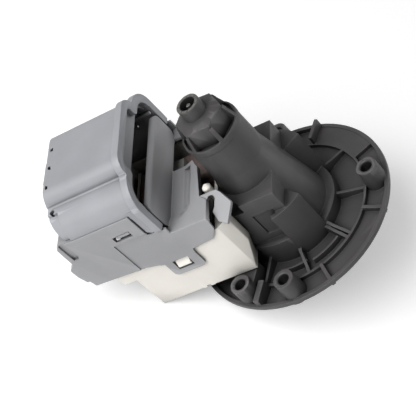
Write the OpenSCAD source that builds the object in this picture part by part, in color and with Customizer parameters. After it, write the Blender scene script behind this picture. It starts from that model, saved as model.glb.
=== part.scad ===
// Washer drain pump: a synchronous motor pump with its stator clipped to one side.
// Frame: origin at the centre of the flange mounting face, +Z along the rotor axis to the motor tip,
// -X towards the stator and the plug hood. Millimetres.

/* [Flange] */
// Outer diameter of the mounting flange
flange_d = 112; // [110:0.5:116]
// Height of the flange rim above the mounting face
flange_t = 4.5; // [4:0.1:6]
// Thickness of the flange floor between the ribs
floor_t = 1.8; // [1.4:0.1:2.4]
// Width of the raised rim
rim_w = 2.2; // [1.6:0.1:2.6]
// Diameter of the circle through the screw holes
screw_circle_d = 98; // [97:0.5:99]
// Diameter of each screw hole
screw_hole_d = 6; // [5:0.1:6.6]
// Outer diameter of each screw boss at its top
boss_d = 10.8; // [10:0.1:11.4]
// Height of the screw bosses above the mounting face
boss_h = 15; // [12:0.5:18]
// Thickness of the moulded ribs
rib_t = 1.6; // [1.2:0.1:2]
// Inner radius of the outer flange bays
bay_r = 43; // [41.5:0.5:44]

/* [Neck and can] */
// Radius of the neck's taper at the flange
neck_r = 25.2; // [24.8:0.1:26]
// Half width of the square neck box that covers the pole ends
neck_y = 24; // [23.6:0.1:25]
// Reach of the neck box to the front of the rotor axis
neck_x = 14.2; // [13.8:0.1:15]
// Height of the neck box above the mounting face
neck_h = 47; // [46:0.5:50]
// Radius of the skirt at the foot of the neck
skirt_r = 29.2; // [28.5:0.1:30]
// Height of the skirt
skirt_h = 17; // [14:0.5:20]
// Outer radius of the rotor can
can_r = 15.7; // [15.4:0.05:15.9]
// Height of the can rim above the mounting face
can_h = 79; // [76:0.5:84]
// Radius of the rotor chamber inside the can
chamber_r = 13.2; // [12.8:0.1:13.6]
// Length of the ribbed end of the can
drum_l = 11; // [10:0.5:14]
// Radius of the ribbed end
drum_r = 12.6; // [12:0.1:13.4]
// Outer radius of the tube at the tip
tip_r = 6; // [5.5:0.1:6.5]
// Length of the tube at the tip
tip_l = 8.3; // [6:0.1:10]

/* [Rotor] */
// Diameter of the rotor shaft
shaft_d = 5; // [4.6:0.1:5.4]
// Outer radius of the rotor magnet
magnet_r = 11.8; // [11.2:0.1:12.2]
// Length of the rotor magnet
magnet_l = 26; // [22:0.5:28]
// Outer radius of both bearing bushes
bush_r = 5; // [4.6:0.1:5.4]
// Length of both bearing bushes
bush_l = 8; // [6:0.5:8.5]

/* [Impeller] */
// Radius of the impeller over its vanes
impeller_r = 23; // [20:0.5:30]
// Height of the impeller vanes
vane_h = 11; // [9:0.5:12]
// Thickness of the impeller vanes
vane_t = 2; // [1.6:0.1:2.6]
// Number of impeller vanes
vane_count = 6; // [4:1:8]
// Outer radius of the impeller hub
hub_r = 9.4; // [9.2:0.1:10.5]
// Angle taken up by the drive dog, and by the stop inside the hub
dog_angle = 50; // [40:1:56]

/* [Stator] */
// Thickness of the lamination stack
stack_t = 21; // [18:0.5:22]
// Width of each core leg
leg_w = 10; // [9:0.1:10.4]
// Radial thickness of the pole arcs
pole_t = 5.6; // [5:0.1:5.8]
// Thickness of the winding on each leg
winding_t = 4.4; // [3.5:0.1:4.6]
// Length of the stator case along X
case_l = 57.5; // [54:0.5:62]
// Width of the stator case along Y
case_w = 69; // [67:0.5:72]
// Height of the stator case floor above the mounting face
case_z = 12.3; // [11.5:0.1:13]
// Wall of the stator case
case_wall = 1.8; // [1.4:0.1:2]

/* [Terminal frame and hood] */
// Wall of the terminal frame
frame_wall = 1.8; // [1.5:0.1:2.2]
// Height of the deck that carries the terminals
deck_z = 79; // [77:0.5:82]
// Height of the shelf in front of the plug mouth
shelf_z = 60; // [59:0.5:62]
// Far end of the frame, measured from the rotor axis
frame_reach = 94; // [93:0.5:98]
// Far end of the hood top, measured from the rotor axis
hood_reach = 82; // [80:0.5:84]
// Distance from the rotor axis to the plug mouth
mouth_x = 36; // [34:0.5:38]
// Height of the hood top above the mounting face
hood_top = 102.3; // [100:0.5:106]
// Height of the hood's shoulders above the mounting face
hood_shoulder_z = 94.6; // [93:0.1:96]
// Half width of the hood's upper step
hood_step = 23.4; // [22.5:0.1:24]
// Radius of the hood's shoulders
hood_round = 13.6; // [11:0.1:14]
// Wall of the hood
hood_wall = 2.8; // [2.2:0.1:3.2]
// Width of each spade terminal
blade_w = 6.3; // [4.8:0.1:6.3]
// Thickness of each spade terminal
blade_t = 0.8; // [0.5:0.1:1]
// Distance between the two spade terminals
blade_pitch = 20; // [18:0.5:22]

/* [Clearances] */
// Gap between parts that are put together by hand
gap = 0.3; // [0.2:0.05:0.4]
// Radial running clearance of the shaft and the impeller
run = 0.05; // [0.03:0.01:0.08]

/* [Hidden] */

$fn = 64;
eps = 0.01;
over = 1;

dark = [0.29, 0.29, 0.30];
pale_grey = [0.70, 0.70, 0.72];
cream = [0.94, 0.92, 0.88];
steel = [0.62, 0.63, 0.65];
rubber = [0.10, 0.10, 0.11];

// Flange
flange_r = flange_d/2;
screw_r = screw_circle_d/2;
boss_angles = [0, 90, -90];
lug_angles = [120, -120];
edge_step = 2;

// Shaft line: the chamber mouth, its bearings and the thrust washers
shaft_r = shaft_d/2;
mouth_r = chamber_r + 2;
mouth_z = -4;
holder_t = 9;
washer_t = 0.8;
rear_seat_r = 8.5;
rear_z = can_h - 1;
rear_mount_wall = rear_seat_r - bush_r;
shaft_top = rear_z + bush_l + gap;

// Spigot and the groove of its seal, sunk a little into the flange
spigot_r = 41;
spigot_wall = 3.4;
spigot_h = 9;
seal_cord_r = 1.7;
seal_sink = 0.4*floor_t;
seal_seat_r = spigot_r - 1;
seal_seat_h = 2*seal_cord_r - seal_sink + gap;
seal_groove_r = seal_seat_r + 2*seal_cord_r + 2*gap;

// Impeller, below the mounting face
impeller_top = mouth_z - 2.2;
plate_t = 2;
hub_l = 13;
cup_r = hub_r - 1.8;
cup_top = impeller_top - 3;
cap_t = 2;
hub_bottom = impeller_top - hub_l;
sleeve_r = 4.2;
damper_t = 1.2;
shaft_bottom = hub_bottom + 0.4;

// Stator
core_z = case_z + case_wall + winding_t + 1.2 + gap;
core_top = core_z + stack_t;
pole_in = can_r + 0.7;
pole_out = pole_in + pole_t;
pole_reach = neck_x - 2.2;
leg_in = pole_out - leg_w;
leg_out = pole_out;
case_x1 = -(can_r - 0.7);
case_x0 = case_x1 - case_l;
case_top = core_top + 8.5;
case_y = case_w/2;
case_wing = 5;
neck_flat = case_x1 + gap + 1.2;
yoke_w = 8.6;
yoke_x0 = case_x0 - gap - yoke_w;
former_wall = 1.2;
former_x0 = case_x0 + case_wall + 3;
former_x1 = case_x1 - case_wall - 3;
former_flange_t = 1.4;
winding_x0 = former_x0 + former_flange_t;
winding_x1 = former_x1 - former_flange_t;
leg_mid = (leg_in + leg_out)/2;
rivet_r = 1.6;

// Rotor, centred on the lamination stack
magnet_z = core_z + (stack_t - magnet_l)/2;
sleeve_flange_t = 1.6;
rotor_sleeve_r = 5.4;
holder_top = mouth_z + holder_t;

// Frame: side plates that rise as rails beside the deck
frame_y = case_y + gap + frame_wall;
frame_z0 = case_z + 28.7;
frame_x0 = -frame_reach;
frame_x1 = case_x1 + 0.3;
front_wall_x = -mouth_x;
panel_t = 2.6;
well_l = 11.6;
deck_t = 2;
panel_top = deck_z - deck_t;
deck_y = case_y - 2.6;
well_y = deck_y - 1.4;
rail_z = deck_z + 2;
shelf_t = 2;
shelf_sink = 1.4;
shelf_end = 5.2;
tab_x0 = front_wall_x - 8.4;
tab_z0 = shelf_z + 5;
window_x0 = tab_x0 - 16;
window_x1 = tab_x0 - 6.4;
window_z0 = deck_z - 10.4;
window_z1 = deck_z - 6.6;
snap_x0 = window_x0 + 1.4;
snap_x1 = window_x1 - gap;
snap_t = 2.2;
bar_x = frame_x0 + 4.4;
foot_z = frame_z0 + 4.8;
step_x = tab_x0 - 19.2;
ear_y = -19.9;

// Hood: outline over the mouth, its lip and the plug slot behind the lip
hood_y = frame_y + 0.8;
hood_in_y = deck_y + gap + 0.2;
lip_w = hood_y - hood_in_y;
lip_depth = 3.2;
ledge_t = 1.8;
hood_fillet = 1.2;
hood_top_round = hood_top - hood_shoulder_z;
rim_proud = 1.6;
rim_l = 4;
hood_slope = 3;
hood_end_wall = 3.4;
slot_top = deck_z + 8.2;
slot_round = 7;

// Terminals, between the blades' block and the mouth
blade_z = deck_z + 3.4;
blade_seat = 4;
block_x0 = -hood_reach + hood_end_wall + gap;
block_l = 9;
block_half = 17;

// Fastenings between the stator case and the frame
peg_x = case_x1 - 0.1;
peg_y = ear_y + 4.2;
peg_d = 4.8;
latch_x0 = -51.6;
latch_x1 = -33.4;
latch_drop = 10.6;
latch_t = 1.6;
hook_x0 = -47;
hook_x1 = -38.6;

// Tube between two radii, standing on z
module ring(r_out, r_in, h, z = 0) {
    translate([0, 0, z])
        difference() {
            cylinder(r = r_out, h = h);
            translate([0, 0, -over]) cylinder(r = r_in, h = h + 2*over);
        }
}

// Part of a ring between two angles, standing on z
module arc_wall(r_out, r_in, h, a0, a1, z = 0) {
    translate([0, 0, z])
        rotate([0, 0, a0])
            rotate_extrude(angle = a1 - a0)
                translate([r_in, 0]) square([r_out - r_in, h]);
}

// Box given by its low and high corners
module block(low, high) {
    translate(low) cube(high - low);
}

// Rectangle with round corners, made of true arcs
module round_rect(low, high, r) {
    size = high - low;
    translate(low + [r, 0]) square(size - [2*r, 0]);
    translate(low + [0, r]) square(size - [0, 2*r]);
    for (x = [low[0] + r, high[0] - r])
        for (y = [low[1] + r, high[1] - r])
            translate([x, y]) circle(r = r);
}

// Radial rib with a sloping top: height h_in at r_in and h_out at r_out
module rib(angle, r_in, r_out, h_in, h_out, t = rib_t) {
    rotate([0, 0, angle])
        translate([0, t/2, 0])
            rotate([90, 0, 0])
                linear_extrude(t)
                    polygon([[r_in, eps], [r_out, eps], [r_out, h_out], [r_in, h_in]]);
}

// Extrudes an outline drawn in (Y, Z) along X from x0 to x1
module along_x(x0, x1) {
    translate([x0, 0, 0])
        rotate([90, 0, 90])
            linear_extrude(x1 - x0) children();
}

// Extrudes an outline drawn in (X, Z) along Y, centred on the X axis
module across_y(half) {
    translate([0, half, 0])
        rotate([90, 0, 0])
            linear_extrude(2*half) children();
}

// Copies its children to both sides of the XZ plane
module both_sides() {
    children();
    mirror([0, 1, 0]) children();
}

// Flange

// Flange floor with its thin overhanging rim, and the spigot below it
module flange_disc() {
    spigot_in = spigot_r - spigot_wall;
    rotate_extrude()
        polygon([
            [0, 0], [spigot_in, 0], [spigot_in, -spigot_h], [spigot_r, -spigot_h],
            [spigot_r, 0], [flange_r - edge_step, 0], [flange_r, edge_step], [flange_r, flange_t],
            [flange_r - rim_w, flange_t], [flange_r - rim_w, floor_t], [0, floor_t]
        ]);
}

// Ribs, bays and raised fields on the motor side of the flange
module flange_ribs() {
    rim_in = flange_r - rim_w/2;
    field_t = flange_t - 0.3;
    foot = eps;
    arc_wall(rim_in, bay_r, field_t - foot, 26, 67, foot);
    ring(bay_r + 0.6, bay_r - 0.8, field_t + eps - foot, foot);
    arc_wall(38.4, 37, field_t + 1, -72, -46, foot);
    arc_wall(36.6, 35.4, field_t + 1.2, -100, -76, foot);
    both_sides()
        for (a = [40, 78, 112])
            rib(a, neck_r - 3, bay_r, 9, field_t);
    for (a = [-4, -43.5])
        rib(a, neck_r - 8, bay_r, 9, field_t);
    rib(67.5, bay_r, rim_in, 9.5, 10, rib_t + 0.4);
    for (a = [-20.5, -68.5])
        rib(a, bay_r, rim_in, field_t + 1, field_t, rib_t + 0.4);
    for (a = [-111, 111])
        rib(a, bay_r, rim_in, 9.5, 8.5, 3.4);
}

// Place of each screw: straight bosses first, then the two lugs beside the stator
module at_screws(angles) {
    for (a = angles)
        rotate([0, 0, a]) translate([screw_r, 0, 0]) children();
}

module screw_bosses() {
    foot = eps;
    at_screws(boss_angles)
        translate([0, 0, foot])
            cylinder(d1 = boss_d + 1.4, d2 = boss_d, h = boss_h - foot);
    // The lugs trail off in a low tail that passes under the stator case
    tail = 15;
    tail_h = case_z - gap - 0.5;
    edge = boss_d/2 - 0.1;
    at_screws(lug_angles)
        translate([0, 0, foot])
            cylinder(d1 = boss_d + 0.8, d2 = boss_d, h = boss_h - foot);
    both_sides()
        at_screws([lug_angles[0]])
            translate([0, 0, foot])
                linear_extrude(tail_h - foot)
                    polygon([[-tail, -0.2*boss_d], [-tail, 0.9*boss_d], [1, edge], [0, -edge]]);
}

// Neck

// Outer forms of the neck: foot skirt, square pole box, two curved pads and the taper up to the can
module neck_outside() {
    pad_h = 34.5;
    front_pad_r = skirt_r - 0.4;
    back_pad_r = skirt_r + 1;
    translate([0, 0, eps]) cylinder(r = skirt_r - 0.8, h = skirt_h - 8);
    both_sides()
        arc_wall(front_pad_r - 0.1, can_r - 2, skirt_h, 77, 126, eps);
    block([-2*can_r, -neck_y, eps], [neck_x, neck_y, neck_h]);
    arc_wall(front_pad_r, can_r - 2, pad_h, -78, -41, eps);
    arc_wall(back_pad_r, can_r - 2, pad_h + 1, 38, 74, eps);
    translate([0, 0, eps]) cylinder(r1 = neck_r, r2 = can_r - 0.3, h = neck_h + 10);
}

// Pocket for the pole ends, open to the stator side
module pole_pocket() {
    depth = pole_out + gap;
    translate([0, 0, core_z - gap])
        linear_extrude(stack_t + 2*gap)
            difference() {
                union() {
                    intersection() {
                        circle(r = depth);
                        translate([-depth, -depth]) square([depth + pole_reach + gap, 2*depth]);
                    }
                    translate([-2*depth, -leg_out - gap]) square([2*depth - 4, 2*(leg_out + gap)]);
                }
                circle(r = can_r + 0.4);
                translate([-4, -leg_in + 2]) square([2*depth, 2*leg_in - 4]);
            }
}

// Hollows of the neck: a sunk panel on each flank and the clip notches beside the can
module neck_grooves() {
    panel_d = 0.9;
    notch_d = 8.6;
    notch_h = 5.4;
    both_sides() {
        block([-3.2, neck_y - panel_d, skirt_h + 4.5], [8, neck_y + 1.2, neck_h - 10.5]);
        translate([-9.2, neck_y + 0.6, neck_h - notch_h]) cylinder(d = notch_d, h = 2*notch_h);
    }
}

// Can with its draft, a conical end with six pockets between ribs, and the tip tube
module can_outside() {
    draft = 0.5;
    rim_h = 2.2;
    rim_r = can_r - draft + 0.3;
    rim_wall = 1.3;
    tip_base = can_h + drum_l;
    window_floor = drum_r - 1.7;
    window_top = tip_base - 1.6;
    rib_angle = 4.4;
    translate([0, 0, eps]) cylinder(r1 = can_r + draft, r2 = can_r - draft, h = can_h - rim_h);
    difference() {
        rotate_extrude()
            polygon([
                [0, can_h - rim_h - 2*over], [rim_r - over, can_h - rim_h - 2*over], [rim_r, can_h - rim_h],
                [rim_r, can_h], [drum_r, tip_base - 0.6], [tip_r + 1.2, tip_base + 1.2],
                [tip_r, tip_base + 1.2], [tip_r, tip_base + tip_l], [0, tip_base + tip_l]
            ]);
        for (a = [0:60:300]) {
            // Pocket behind the rim, and the open window above it
            arc_wall(rim_r - rim_wall, window_floor, 3*over, a + rib_angle, a + 60 - rib_angle, can_h - over);
            arc_wall(can_r + over, window_floor, window_top - can_h - over, a + rib_angle, a + 60 - rib_angle,
                     can_h + over);
        }
    }
}

// Chamber, bearing seats and the blind bore of the tip tube
module shaft_hollows() {
    stub_r = 1.2;
    bore_r = tip_r - 2;
    bore_l = 6;
    tip_top = can_h + drum_l + tip_l;
    translate([0, 0, holder_top]) cylinder(r = chamber_r, h = rear_z - holder_top - 2);
    translate([0, 0, rear_z - 2 - over]) cylinder(r = rear_seat_r, h = bush_l + 2*gap + 2 + over);
    translate([0, 0, mouth_z - over]) cylinder(r = mouth_r, h = holder_t + over);
    difference() {
        translate([0, 0, tip_top - bore_l]) cylinder(r = bore_r, h = bore_l + over);
        translate([0, 0, tip_top - bore_l - over]) cylinder(r = stub_r, h = bore_l);
    }
}

// Wet side: mouth of the rotor chamber and the ribs between it and the spigot
module wet_side() {
    translate([0, 0, mouth_z]) cylinder(r = mouth_r + 2.4, h = floor_t - mouth_z - eps);
    for (a = [15:30:345])
        rotate([0, 0, a])
            block([mouth_r + 1, -rib_t/2, -2.4], [spigot_r - spigot_wall + over, rib_t/2, eps]);
}

module pump_housing() {
    color(dark)
        difference() {
            union() {
                flange_disc();
                flange_ribs();
                screw_bosses();
                difference() {
                    neck_outside();
                    block([-2*flange_r, -flange_r, case_z - gap - 0.4], [neck_flat, flange_r, can_h]);
                    pole_pocket();
                    neck_grooves();
                }
                can_outside();
                wet_side();
            }
            shaft_hollows();
            // Groove of the seal at the root of the spigot
            ring(seal_groove_r, seal_seat_r, seal_seat_h + seal_sink, -seal_seat_h);
            at_screws(concat(boss_angles, lug_angles)) {
                translate([0, 0, -over]) cylinder(d = screw_hole_d, h = boss_h + 2*over);
                translate([0, 0, boss_h - 0.6])
                    cylinder(d1 = screw_hole_d, d2 = screw_hole_d + 1.6, h = 0.8);
            }
        }
}

// O-ring in the groove at the root of the spigot
module flange_seal() {
    color(rubber)
        translate([0, 0, seal_sink - seal_cord_r - gap/2])
            rotate_extrude()
                translate([seal_seat_r + seal_cord_r + gap/2, 0]) circle(r = seal_cord_r);
}

// Shaft line

// Carrier that closes the rotor chamber and holds the front bush
module bearing_holder() {
    lip = 1.6;
    color([0.16, 0.16, 0.17])
        difference() {
            union() {
                translate([0, 0, mouth_z]) cylinder(r = mouth_r - run, h = holder_t - run);
                translate([0, 0, mouth_z - lip]) cylinder(r = bush_r + 3, h = lip + eps);
            }
            translate([0, 0, mouth_z + over]) cylinder(r = bush_r + run, h = holder_t);
            translate([0, 0, mouth_z - lip - over]) cylinder(r = shaft_r + 1.6, h = holder_t);
            for (a = [0:45:315])
                rotate([0, 0, a])
                    translate([(bush_r + mouth_r)/2, 0, mouth_z + 3]) cylinder(r = 2.6, h = holder_t);
        }
}

module front_bearing() {
    color([0.35, 0.30, 0.24])
        ring(bush_r, shaft_r + run, holder_t - over - gap, mouth_z + over + run);
}

// Lip seal on the wet side of the front bush
module shaft_seal() {
    lip = 1.6;
    color(rubber)
        translate([0, 0, mouth_z - lip])
            rotate_extrude()
                polygon([
                    [shaft_r + run, 0], [shaft_r + 1.5, 0.2], [shaft_r + 1.5, lip + 0.9],
                    [shaft_r + 0.9, lip + 0.9], [shaft_r + 0.9, 0.9], [shaft_r + run, 0.5]
                ]);
}

module rotor_shaft() {
    tip_chamfer = 0.5;
    color(steel)
        rotate_extrude()
            polygon([
                [0, shaft_bottom], [shaft_r - tip_chamfer, shaft_bottom],
                [shaft_r, shaft_bottom + tip_chamfer], [shaft_r, shaft_top - tip_chamfer],
                [shaft_r - tip_chamfer, shaft_top], [0, shaft_top]
            ]);
}

// Moulded rotor body: grips the shaft and holds the magnet between two discs
module rotor_sleeve() {
    z0 = holder_top + washer_t + gap;
    z1 = rear_z - 2 - washer_t - gap;
    color([0.20, 0.20, 0.22])
        difference() {
            union() {
                translate([0, 0, z0]) cylinder(r = rotor_sleeve_r, h = z1 - z0);
                for (z = [magnet_z - sleeve_flange_t, magnet_z + magnet_l])
                    translate([0, 0, z]) cylinder(r = magnet_r - 0.4, h = sleeve_flange_t);
            }
            translate([0, 0, z0 - over]) cylinder(r = shaft_r + eps, h = z1 - z0 + 2*over);
        }
}

module rotor_magnet() {
    color([0.25, 0.24, 0.24])
        ring(magnet_r, rotor_sleeve_r + eps, magnet_l - 2*eps, magnet_z + eps);
}

// Thrust washers between the rotor body and both bearings
module thrust_washers() {
    color([0.85, 0.84, 0.80])
        for (z = [holder_top + gap/2, rear_z - 2 - washer_t - gap/2])
            ring(rotor_sleeve_r + 1, shaft_r + run, washer_t, z);
}

module rear_bearing() {
    color([0.35, 0.30, 0.24])
        ring(bush_r, shaft_r + run, bush_l - gap, rear_z);
}

// Rubber ring that carries the rear bush in the end of the can
module rear_bearing_mount() {
    color(rubber)
        difference() {
            ring(rear_seat_r - run, bush_r + run, bush_l + gap, rear_z - run);
            for (a = [0:60:300])
                rotate([0, 0, a])
                    translate([bush_r + rear_mount_wall/2, 0, rear_z - over])
                        cylinder(r = 0.8, h = bush_l + 3*over);
        }
}

// Impeller and its lost-motion coupling

// Dog on the shaft end that strikes the stop inside the hub
module drive_dog() {
    z0 = hub_bottom + cap_t + gap;
    h = cup_top - gap - z0;
    color([0.90, 0.89, 0.86])
        difference() {
            union() {
                translate([0, 0, z0]) cylinder(r = sleeve_r, h = h);
                arc_wall(cup_r - gap, shaft_r + 0.5, h, -dog_angle/2, dog_angle/2, z0);
            }
            translate([0, 0, z0 - over]) cylinder(r = shaft_r + eps, h = h + 2*over);
        }
}

module impeller_vane() {
    sweep = 34;
    rise = impeller_r - hub_r;
    radius = rise/(2*sin(sweep/2)*cos(20));
    translate([0, 0, impeller_top - plate_t - vane_h])
        intersection() {
            translate([hub_r - 1, 0, 0])
                rotate([0, 0, 14])
                    translate([0, -radius, 0])
                        ring(radius + vane_t/2, radius - vane_t/2, vane_h + eps);
            arc_wall(impeller_r, hub_r - 1, vane_h + eps, -40, 30);
        }
}

// Impeller: back plate, swept vanes, and a hub cup with the stop
module impeller() {
    stop_h = cup_top - hub_bottom - cap_t - gap;
    color([0.13, 0.13, 0.14])
        difference() {
            union() {
                translate([0, 0, impeller_top - plate_t]) cylinder(r = impeller_r - 4, h = plate_t);
                difference() {
                    translate([0, 0, hub_bottom]) cylinder(r = hub_r, h = hub_l - eps);
                    translate([0, 0, hub_bottom - over]) cylinder(r = cup_r, h = cup_top - hub_bottom + over);
                }
                arc_wall(hub_r - 0.5, sleeve_r + gap, stop_h, 180 - dog_angle/2, 180 + dog_angle/2,
                         cup_top - stop_h + eps);
                for (i = [0:vane_count - 1])
                    rotate([0, 0, i*360/vane_count]) impeller_vane();
            }
            translate([0, 0, hub_bottom - over]) cylinder(r = shaft_r + run, h = hub_l + 2*over);
        }
}

// Cap snapped into the hub under the dog
module impeller_cap() {
    color([0.13, 0.13, 0.14])
        difference() {
            union() {
                translate([0, 0, hub_bottom]) cylinder(r = cup_r - run, h = cap_t);
                translate([0, 0, hub_bottom - 1]) cylinder(r1 = cup_r - 3, r2 = cup_r - 0.6, h = 1 + eps);
            }
            translate([0, 0, hub_bottom + 0.1]) cylinder(r = shaft_r + run, h = cap_t + over);
        }
}

// Rubber bumper clipped over both faces of the stop
module coupling_damper() {
    z0 = hub_bottom + cap_t + gap;
    h = cup_top - 2*gap - z0;
    inner = sleeve_r + gap;
    pad = asin(damper_t/cup_r);
    edge = 180 - dog_angle/2;
    slack = 0.6;
    color(rubber)
        for (side = [0, 1])
            mirror([0, side, 0])
                arc_wall(cup_r - run, inner, h, edge - pad - slack, edge - slack, z0);
}

// Stator

// Outline of the laminations: yoke, two legs and the pole arcs round the can
module core_outline() {
    difference() {
        union() {
            translate([yoke_x0, -leg_out]) square([yoke_w, 2*leg_out]);
            for (side = [-1, 1])
                translate([yoke_x0, side > 0 ? leg_in : -leg_out]) square([-yoke_x0 - 4, leg_w]);
            intersection() {
                circle(r = pole_out);
                translate([-2*pole_out, -2*pole_out]) square([2*pole_out + pole_reach, 4*pole_out]);
            }
        }
        circle(r = pole_in);
        translate([-pole_out - 1, -leg_in - eps]) square([4*pole_out, 2*(leg_in + eps)]);
    }
}

module rivet_places() {
    for (y = [-leg_mid, leg_mid])
        translate([yoke_x0 + yoke_w/2, y, 0]) children();
}

module stator_core() {
    color([0.33, 0.32, 0.33])
        difference() {
            translate([0, 0, core_z])
                linear_extrude(stack_t) core_outline();
            rivet_places()
                translate([0, 0, core_z - over]) cylinder(r = rivet_r + run, h = stack_t + 2*over);
        }
}

module core_rivets() {
    head_r = rivet_r + 1.2;
    head_t = 0.9;
    color(steel)
        rivet_places() {
            translate([0, 0, core_z - head_t]) cylinder(r = rivet_r, h = stack_t + 2*head_t);
            translate([0, 0, core_z - head_t - run]) cylinder(r1 = head_r - 0.5, r2 = head_r, h = head_t);
            translate([0, 0, core_top + run]) cylinder(r1 = head_r, r2 = head_r - 0.5, h = head_t);
        }
}

// Section round one leg, grown by a margin
module leg_section(x0, x1, grow) {
    block([x0, leg_in - grow, core_z - grow], [x1, leg_out + grow, core_top + grow]);
}

// Coil former on the leg at +Y: a square tube with two end flanges
module coil_former() {
    flange_grow = former_wall + winding_t;
    difference() {
        union() {
            leg_section(former_x0, former_x1, former_wall + gap/2);
            leg_section(former_x0, former_x0 + former_flange_t, flange_grow);
            leg_section(former_x1 - former_flange_t, former_x1, flange_grow);
        }
        leg_section(former_x0 - over, former_x1 + over, gap/2);
    }
}

// Winding on that former
module coil_winding() {
    inner = former_wall + gap/2 + run;
    difference() {
        leg_section(winding_x0 + run, winding_x1 - run, former_wall + winding_t - gap);
        leg_section(winding_x0 - over, winding_x1 + over, inner);
    }
}

module coil_former_right() {
    color([0.88, 0.86, 0.80]) coil_former();
}

module coil_former_left() {
    color([0.88, 0.86, 0.80]) mirror([0, 1, 0]) coil_former();
}

module coil_winding_right() {
    color([0.72, 0.38, 0.18]) coil_winding();
}

module coil_winding_left() {
    color([0.72, 0.38, 0.18]) mirror([0, 1, 0]) coil_winding();
}

// Overheat switch lying on the right-hand winding
module thermal_protector() {
    top = core_top + former_wall + winding_t - gap;
    x_mid = (winding_x0 + winding_x1)/2;
    length = 16;
    width = 7.5;
    height = 3.6;
    color([0.55, 0.55, 0.52])
        translate([x_mid - length/2, leg_mid - width/2, top + run])
            difference() {
                cube([length, width, height]);
                translate([-over, -over, height - 0.8]) cube([3 + over, width + 2*over, 2]);
            }
}

// Plan of the case: a box with two wings that reach past the neck box
module case_plan() {
    x0 = case_x0;
    x1 = case_x1;
    y = case_y;
    wing = case_wing;
    wing_y = neck_y + 1.2;
    polygon([
        [x0, -y], [x1, -y], [x1 + wing, -y + 4.4], [x1 + wing, -wing_y], [x1, -wing_y],
        [x1, wing_y], [x1 + wing, wing_y], [x1 + wing, y - 4.4], [x1, y], [x0, y]
    ]);
}

// Cream case round both coils: an open tray with winged front corners
module stator_case() {
    wall = case_wall;
    slope_z = case_z + 2;
    ledge_l = 7.4;
    peg_chamfer = 1.2;
    peg_foot = case_top - 2;
    peg_top = shelf_z + 0.6;
    color(cream)
        difference() {
            union() {
                difference() {
                    translate([0, 0, case_z])
                        linear_extrude(case_top - case_z) case_plan();
                    // The wings slope away below
                    across_y(case_y + over)
                        polygon([
                            [case_x1, case_z - over], [case_x1 + 2*case_wing, case_z - over],
                            [case_x1 + 2*case_wing, slope_z + 30], [case_x1, slope_z]
                        ]);
                }
                both_sides() {
                    // Ledge that reaches back under the frame
                    block([case_x0 - ledge_l, -case_y, frame_z0 - 4.8],
                          [case_x0 + over, -case_y + 8, foot_z - 1.4 - gap]);
                    // Hook for the frame's latch
                    translate([hook_x0 + gap, -case_y + eps, 0])
                        rotate([90, 0, 90])
                            linear_extrude(hook_x1 - hook_x0 - 2*gap)
                                polygon([
                                    [0, frame_z0 - 6.4], [-latch_t - gap, frame_z0 - 5.6],
                                    [-latch_t - gap, frame_z0 - 4.6], [0, frame_z0 - 0.6]
                                ]);
                }
                // Peg beside the frame's ear
                translate([peg_x, peg_y, 0])
                    rotate_extrude()
                        polygon([
                            [0, peg_foot], [peg_d/2, peg_foot], [peg_d/2, peg_top - peg_chamfer],
                            [peg_d/2 - peg_chamfer, peg_top], [0, peg_top]
                        ]);
            }
            block([case_x0 + wall, -case_y + wall, case_z + wall],
                  [case_x1 - wall, case_y - wall, case_top + over]);
            both_sides()
                block([case_x0 - over, leg_in - gap, core_z - gap],
                      [case_x1 + over, leg_out + gap, core_top + gap]);
            translate([0, 0, case_z - over]) cylinder(r = can_r + 1.2, h = case_top);
            // Drain notch in the lower edge
            both_sides()
                block([-45, -case_y - over, case_z - over], [-43, -case_y + 1, case_z + 1.2]);
        }
}

// Terminal frame and hood

// Side outline of the frame in (X, Z): a bar at the far end, a swelling below it and a slanting foot
module frame_outline() {
    x0 = frame_x0;
    bar_z = rail_z - 14.6;
    front = front_wall_x - panel_t/2;
    polygon([
        [front, frame_z0], [front, rail_z], [bar_x + 2, rail_z], [bar_x + 0.6, rail_z - 2], [bar_x, bar_z],
        [x0, bar_z - 4], [x0, bar_z - 10], [x0 + 1.4, bar_z - 16], [x0 + 2.8, bar_z - 16],
        [x0 + 3.4, foot_z], [step_x, foot_z - 1.4], [latch_x0, frame_z0]
    ]);
}

// Latch tab with its window, hanging over the case
module latch_tab() {
    y0 = -frame_y;
    difference() {
        translate([0, y0 + latch_t, 0])
            rotate([90, 0, 0])
                linear_extrude(latch_t)
                    round_rect([latch_x0, frame_z0 - latch_drop], [latch_x1, frame_z0 + 6], 2.4);
        block([hook_x0 - gap, y0 - over, frame_z0 - 7], [hook_x1 + gap, y0 + 4, frame_z0 + 0.2]);
    }
}

// Front wall below the mouth: round upper corners and a round upper edge
module front_panel() {
    corner_r = 5;
    edge_r = panel_t - 0.2;
    foot = shelf_z - shelf_t;
    back = front_wall_x - panel_t;
    intersection() {
        along_x(back, front_wall_x)
            round_rect([-deck_y, foot], [deck_y, panel_top], corner_r);
        across_y(deck_y + over) {
            translate([back - over, foot - over])
                square([panel_t + 2*over, panel_top - edge_r - foot + over]);
            translate([back - over, foot])
                square([panel_t - edge_r + over, panel_top - foot + over]);
            translate([front_wall_x - edge_r, panel_top - edge_r]) circle(r = edge_r);
        }
    }
}

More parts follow.
